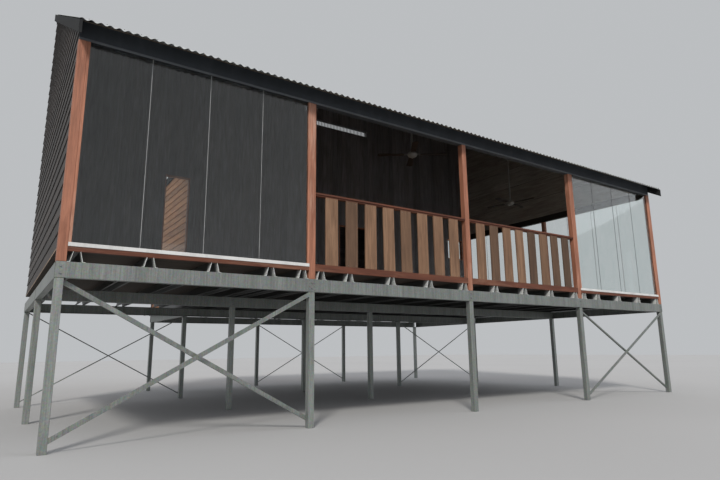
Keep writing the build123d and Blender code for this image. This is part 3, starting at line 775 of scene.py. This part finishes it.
for normal_axis, near, far, opening, with_sill in (
    (1, front_face, rear_face, DOOR, False),
    (1, REAR_INNER, REAR_FACE, DOOR, False),
    (1, front_face, rear_face, GARDEN, False),
    (1, front_face, rear_face, BACK_WINDOW, True),
    (0, INNER, OUTER, END_WINDOW, True),
):
    line_opening(normal_axis, near - PROUD, far + PROUD, opening, with_sill)
trim.make("opening_linings", red_upright, "red_timber", bevel=0.002)

# Floor: boards from front to back on a ply underlay, notched round the posts
UNDERLAY = 0.012
cuts = sorted(
    {-OUTER, OUTER, LEAN_X}
    | {x - HALF_POST for x in POSTS[1:]}
    | {x + HALF_POST for x in POSTS[:4]}
)
floor_rings = []
for left, right in zip(cuts, cuts[1:]):
    centre = (left + right) / 2
    at_post = any(abs(centre - x) < HALF_POST for x in POSTS)
    start = FRONT + HALF_POST if at_post else FRONT
    end = WALL_BACK if centre < LEAN_X else REAR_FACE
    floor_rings.append(rectangle(left, right, start, end))
underlay = Mesh(23)
for ring in floor_rings:
    underlay.prism(
        [(x, y, DECK_BOTTOM) for x, y in ring],
        [(x, y, DECK_BOTTOM + UNDERLAY) for x, y in ring],
        0.5,
    )
underlay.make("floor_underlay", shaded_floor_ply, "deck_ply", ("floor_deck",))
floor = Mesh(24)
width, groove, sliver = 0.13, 0.0025, 0.001
for n in range(int(math.ceil(2 * OUTER / width))):
    low = -OUTER + n * width
    tone = floor.random.random()
    for ring in floor_rings:
        cut = clip(clip(ring, 0, low, 1), 0, low + width - groove, -1)
        if len(cut) < 3 or max(p[0] for p in cut) - min(p[0] for p in cut) < sliver:
            continue
        floor.prism(
            [(x, y, DECK_BOTTOM + UNDERLAY) for x, y in cut],
            [(x, y, DECK_TOP) for x, y in cut],
            tone,
        )
floor.make("floor_boarding", floor_wood, "deck_ply")

# Balustrade slats with nail heads
SLAT, GAP, SLATS = 0.19, 0.125, 8
SKEW = 0.004
NAIL_SIDE, NAIL_LOW, NAIL_HIGH, NAIL_HEAD, NAIL_RADIUS = 0.06, 0.025, 0.03, 0.001, 0.004
slat_low, slat_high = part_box("balustrade_slats")
slats, nails = Mesh(25), Mesh(26)
for left in (POSTS[1], POSTS[2]):
    first = left + (BAY - (SLATS - 1) * (SLAT + GAP)) / 2
    for n in range(SLATS):
        x = first + n * (SLAT + GAP)
        lean = slats.random.uniform(-SKEW, SKEW)
        ring = [
            (x - SLAT / 2 + lean, slat_low.y), (x + SLAT / 2 + lean, slat_low.y),
            (x + SLAT / 2 + lean, slat_high.y), (x - SLAT / 2 + lean, slat_high.y),
        ]
        slats.prism(
            [(u - 2 * lean, v, slat_low.z) for u, v in ring],
            [(u, v, slat_high.z) for u, v in ring],
        )
        for z in (slat_low.z + NAIL_LOW, slat_high.z - NAIL_HIGH):
            for nail_x in (x - NAIL_SIDE, x + NAIL_SIDE):
                behind = (nail_x, slat_low.y + NAIL_HEAD, z)
                nails.rod(behind, (nail_x, slat_low.y - NAIL_HEAD, z), NAIL_RADIUS, 8)
slats.make("slat_boards", tan_upright, "tan_timber", ("balustrade_slats",), bevel=0.002)
nails.make("slat_nails", bolt_zinc, "tan_timber")

# Top rails: a wide cap on a narrower rail
rail_low, rail_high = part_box("balustrade_rails")
rails = Mesh(28)
CAP, CAP_LIP = 0.026, 0.014
for left, right in ((POSTS[1], POSTS[2]), (POSTS[2], POSTS[3])):
    start, end = left + HALF_POST, right - HALF_POST
    rails.box((start, rail_low.y, rail_high.z - CAP), (end, rail_high.y, rail_high.z))
    rails.box(
        (start, rail_low.y + CAP_LIP, rail_low.z),
        (end, rail_high.y - CAP_LIP, rail_high.z - CAP),
    )
rails.make("capped_rails", red_level, "red_timber", ("balustrade_rails",), bevel=0.003)

# Angle section struts with bolts at their ends and where they cross
LEG, GAUGE, END, STRUT_INSET, FOOT = 0.035, 0.006, 0.057, 0.04, 0.007
FRAME_BOLT, STRUT_BOLT, SPLICE_BOLT, BOLT_EDGE = 0.015, 0.011, 0.009, 0.045
strut_low, strut_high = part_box("front_struts")
struts, bolts = Mesh(27), Mesh(29)
for left, right in ((POSTS[0], POSTS[1]), (POSTS[3], POSTS[4])):
    for rising, face_y, inward in ((True, strut_low.y, 1), (False, strut_high.y, -1)):
        x0, x1 = left + STRUT_INSET, right - STRUT_INSET
        if not rising:
            x0, x1 = x1, x0
        low_z, high_z = strut_low.z, strut_high.z
        web = [(x0, low_z), (x1, high_z - END), (x1, high_z), (x0, low_z + END)]
        struts.prism(
            [(x, face_y, z) for x, z in web], [(x, face_y + inward * GAUGE, z) for x, z in web]
        )
        foot = [
            (x0, low_z), (x1, high_z - END), (x1, high_z - END + FOOT), (x0, low_z + FOOT),
        ]
        struts.prism(
            [(x, face_y + inward * GAUGE, z) for x, z in foot],
            [(x, face_y + inward * LEG, z) for x, z in foot],
        )
        if rising:
            for share in (0.025, 0.5, 0.975):
                x = x0 + (x1 - x0) * share
                z = low_z + END / 2 + (high_z - low_z - END) * share
                bolts.bolt((x, face_y, z), (0, -1, 0), STRUT_BOLT)
struts.make("angle_struts", zinc_level, "galvanised_steel", ("front_struts",), bevel=0.001)

# Bolts on the bearers at each stump, and on the splice of the front bearer
SPLICE_SIDE, SPLICE_LOW, SPLICE_STEP = 0.035, 0.025, 0.04
web_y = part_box("bearer_front")[0].y
for x in POSTS:
    for z in (BEARER_LOW + BOLT_EDGE, BEARER_HIGH - BOLT_EDGE):
        bolts.bolt((x, web_y, z), (0, -1, 0), FRAME_BOLT)
for offset in (-SPLICE_SIDE, SPLICE_SIDE):
    for n in range(4):
        z = BEARER_LOW + SPLICE_LOW + SPLICE_STEP * n
        bolts.bolt((POSTS[1] + offset, web_y, z), (0, -1, 0), SPLICE_BOLT)
for node in ("bearer_middle", "bearer_back", "bearer_rear"):
    low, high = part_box(node)
    face, out = (low.y, -1) if node == "bearer_middle" else (high.y, 1)
    for x in POSTS:
        if x > low.x:
            for z in (BEARER_LOW + BOLT_EDGE, BEARER_HIGH - BOLT_EDGE):
                bolts.bolt((x, face, z), (0, out, 0), FRAME_BOLT)
bolts.make("frame_bolts", bolt_zinc, "galvanised_steel")

# Sealant between the panes
joint = Mesh(30)
PANES, PANE_GAP, SEALANT_INSET = 4, 0.006, 0.003


def pane_joints(start, end):
    """Centres of the joints between equal panes."""
    width = (end - start - (PANES - 1) * PANE_GAP) / PANES
    return [start + n * (width + PANE_GAP) - PANE_GAP / 2 for n in range(1, PANES)]


for node, spans, axis in (
    ("glass_front", ((POSTS[0], POSTS[1]), (POSTS[3], POSTS[4])), 0),
    ("glass_right_end", ((FRONT, MIDDLE), (MIDDLE, BACK)), 1),
):
    low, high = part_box(node)
    for start, end in spans:
        for place in pane_joints(start + HALF_POST, end - HALF_POST):
            a, b = Vector(low), Vector(high)
            a[axis], b[axis] = place - PANE_GAP / 2, place + PANE_GAP / 2
            other = 1 - axis
            a[other], b[other] = low[other] + SEALANT_INSET, high[other] - SEALANT_INSET
            joint.box(a, b)
joint.make("glass_sealant", sealant, "clear_glass")

# Timber beads that hold the outer panes of the front bays to the posts
BEAD = 0.028
pane_low, pane_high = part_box("glass_front")
rim_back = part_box("rim_boards")[1].y
beads = Mesh(36)
for left, right in ((POSTS[0], POSTS[1]), (POSTS[3], POSTS[4])):
    start, end = left + HALF_POST, right - HALF_POST
    for x0, x1 in ((start, start + BEAD), (end - BEAD, end)):
        for near, far in ((web_y, pane_low.y), (pane_high.y, rim_back)):
            beads.box((x0, near, pane_low.z), (x1, far, pane_high.z))
beads.make("glazing_beads", red_upright, "red_timber", bevel=0.002)

# Ceiling fans
BLADES, BLADE_PITCH, HALF_BLADE = 4, math.radians(4), 0.003
IRON_START, IRON_END, IRON_SIDE, IRON_SPREAD, IRON_RADIUS = 0.07, 0.2, 0.02, 1.6, 0.004


def fan(name, node, body, centre, turn):
    """A ceiling fan's rotor: bowl, blade irons and pitched blades."""
    low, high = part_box(node)
    middle = (low.z + high.z) / 2
    bowl = Mesh(31)
    rings = ((low.z, 0.04), (low.z + 0.02, 0.075), (middle - 0.008, 0.09),
             (middle + 0.008, 0.09), (high.z - 0.025, 0.075), (high.z, 0.045))
    for (z0, r0), (z1, r1) in zip(rings, rings[1:]):
        bowl.rod((centre[0], centre[1], z0), (centre[0], centre[1], z1), r0, 32, r1, 0.5)
    for n in range(BLADES):
        angle = turn + n * 2 * math.pi / BLADES
        ahead = Vector((math.cos(angle), math.sin(angle), 0))
        aside = Vector((-math.sin(angle), math.cos(angle), 0))
        root = Vector((centre[0], centre[1], middle + 0.004))
        for side in (-IRON_SIDE, IRON_SIDE):
            a = root + ahead * IRON_START + aside * side
            b = root + ahead * IRON_END + aside * side * IRON_SPREAD
            bowl.rod(a, b, IRON_RADIUS, 8)
    bowl.make(name + "_hub", fan_paint, "fan_enamel", (node,), body=body)
    blades = Mesh(32)
    for n in range(BLADES):
        angle = turn + n * 2 * math.pi / BLADES
        ahead = Vector((math.cos(angle), math.sin(angle), 0))
        flat, rise = math.cos(BLADE_PITCH), math.sin(BLADE_PITCH)
        aside = Vector((-math.sin(angle) * flat, math.cos(angle) * flat, rise))
        root = Vector((centre[0], centre[1], middle - 0.001))
        outline = ((0.15, -0.045), (0.6, -0.06), (0.635, -0.035), (0.64, 0.0),
                   (0.635, 0.035), (0.6, 0.06), (0.15, 0.045))
        under = [root + ahead * u + aside * v - Vector((0, 0, HALF_BLADE)) for u, v in outline]
        over = [p + Vector((0, 0, 2 * HALF_BLADE)) for p in under]
        blades.prism(under, over)
    blades.make(name + "_blades", blade_paint, "fan_enamel", body=body, bevel=0.0015)


fan("front_fan", "front_fan_rotor", "front_fan", centre=(0.0, -2.79), turn=math.radians(-34))
fan("right_fan", "right_fan_rotor", "right_fan", centre=(4.2, -1.47), turn=math.radians(11))

# Frame nodes that keep their own shape
for material, bevel, nodes in (
    (zinc_upright, 0.005, ("stumps_front", "stumps_middle", "stumps_back", "stumps_rear")),
    (zinc_level, 0.0015, ("bearer_front", "bearer_middle", "bearer_back", "bearer_rear")),
    (zinc_level, 0.0015, ("bearers_ends", "back_rods")),
    (zinc_bright, 0.0008, ("joists_left", "joists_main")),
    (red_upright, 0.005, ("posts_front", "posts_right_end")),
    (red_level, 0.003, ("rim_boards",)),
    (white_sill, 0.002, ("front_sills", "floor_sills")),
    (glass, 0.0, ("glass_front", "glass_right_end", "glass_back")),
    (dark_along_y, 0.004, ("right_tie_beam",)),
    (dark_steel, 0.002, ("high_fascia",)),
    (barge_steel_painted_shade, 0.002, ("barge_boards", "lean_to_barges")),
    (framing_along_y, 0.003, ("main_rafters", "lean_to_rafters")),
    (framing_along_x, 0.002, ("main_purlins", "lean_to_purlins")),
    (dark_along_x, 0.002, ("high_plate",)),
    (fan_paint, 0.001, ("fan_rods",)),
):
    for node in nodes:
        dress(node, material, bevel)


def looked_at(tree):
    """1 for the rays that show the background, straight, mirrored or through glass."""
    path = tree.nodes.new("ShaderNodeLightPath")
    shown = path.outputs["Is Camera Ray"]
    for kind in ("Is Glossy Ray", "Is Transmission Ray"):
        larger = tree.nodes.new("ShaderNodeMath")
        larger.operation = "MAXIMUM"
        tree.links.new(shown, larger.inputs[0])
        tree.links.new(path.outputs[kind], larger.inputs[1])
        shown = larger.outputs[0]
    return shown


# Studio floor, lighter to look at than in the light it throws back
floor_look = Look("studio_floor")
floor_tint = floor_look.ramp(
    floor_look.noise(floor_look.object, 0.15, 2), (0.3, (0.44,) * 3), (0.7, (0.46,) * 3)
)
floor_tint = floor_look.mix("MIX", looked_at(floor_look.tree), (0.2, 0.2, 0.19), floor_tint)
floor_look.finish(floor_tint, floor_look.levels(floor_look.tone, 0.85, 0.9))
REACH = 60.0
plane_data = bpy.data.meshes.new("studio_floor")
plane_data.from_pydata(
    [(-REACH, -REACH, 0), (REACH, -REACH, 0), (REACH, REACH, 0), (-REACH, REACH, 0)],
    [], [(0, 1, 2, 3)],
)
plane = bpy.data.objects.new("studio_floor", plane_data)
plane_data.materials.append(floor_look.material)
bpy.context.scene.collection.objects.link(plane)
plane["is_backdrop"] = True

# World and lamps
world = bpy.data.worlds.new("studio")
bpy.context.scene.world = world
world.use_nodes = True
sky = world.node_tree.nodes["Background"]
sky.inputs["Color"].default_value = (0.93, 0.95, 1.0, 1)
sky.inputs["Strength"].default_value = 0.62
seen = world.node_tree.nodes.new("ShaderNodeBackground")
seen.inputs["Color"].default_value = (0.5, 0.515, 0.53, 1)
switch = world.node_tree.nodes.new("ShaderNodeMixShader")
output = world.node_tree.nodes["World Output"]
world.node_tree.links.new(looked_at(world.node_tree), switch.inputs[0])
world.node_tree.links.new(sky.outputs[0], switch.inputs[1])
world.node_tree.links.new(seen.outputs[0], switch.inputs[2])
world.node_tree.links.new(switch.outputs[0], output.inputs["Surface"])


def lamp(name, strength, softness, azimuth, height, colour, mirrored):
    """A soft distant lamp from a compass angle and a height in degrees."""
    data = bpy.data.lights.new(name, "SUN")
    data.energy = strength
    data.angle = math.radians(softness)
    data.color = colour
    light = bpy.data.objects.new(name, data)
    light.visible_glossy = mirrored
    bpy.context.scene.collection.objects.link(light)
    a, h = math.radians(azimuth), math.radians(height)
    source = Vector((math.sin(a) * math.cos(h), -math.cos(a) * math.cos(h), math.sin(h)))
    light.rotation_mode = "QUATERNION"
    light.rotation_quaternion = source.to_track_quat("Z", "Y")


lamp(
    "key", strength=2.1, softness=9, azimuth=-38, height=38, colour=(1.0, 0.96, 0.9),
    mirrored=True,
)
lamp(
    "fill", strength=0.5, softness=40, azimuth=50, height=30, colour=(0.92, 0.95, 1.0),
    mirrored=False,
)

# Camera at the photograph's place
SENSOR, LENS = 36.0, 26.99
camera_data = bpy.data.cameras.new("camera")
camera_data.sensor_width = SENSOR
camera_data.lens = LENS
camera = bpy.data.objects.new("camera", camera_data)
bpy.context.scene.collection.objects.link(camera)
EYE = (-6.097, -10.05, 0.912)
YAW, PITCH, ROLL = math.radians(34.09), math.radians(11.53), math.radians(0.61)
camera.matrix_world = (
    Matrix.Translation(EYE)
    @ Matrix.Rotation(-YAW, 4, "Z")
    @ Matrix.Rotation(math.pi / 2 + PITCH, 4, "X")
    @ Matrix.Rotation(-ROLL, 4, "Z")
)
bpy.context.scene.camera = camera
bpy.context.scene.view_settings.view_transform = "Standard"

low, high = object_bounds()
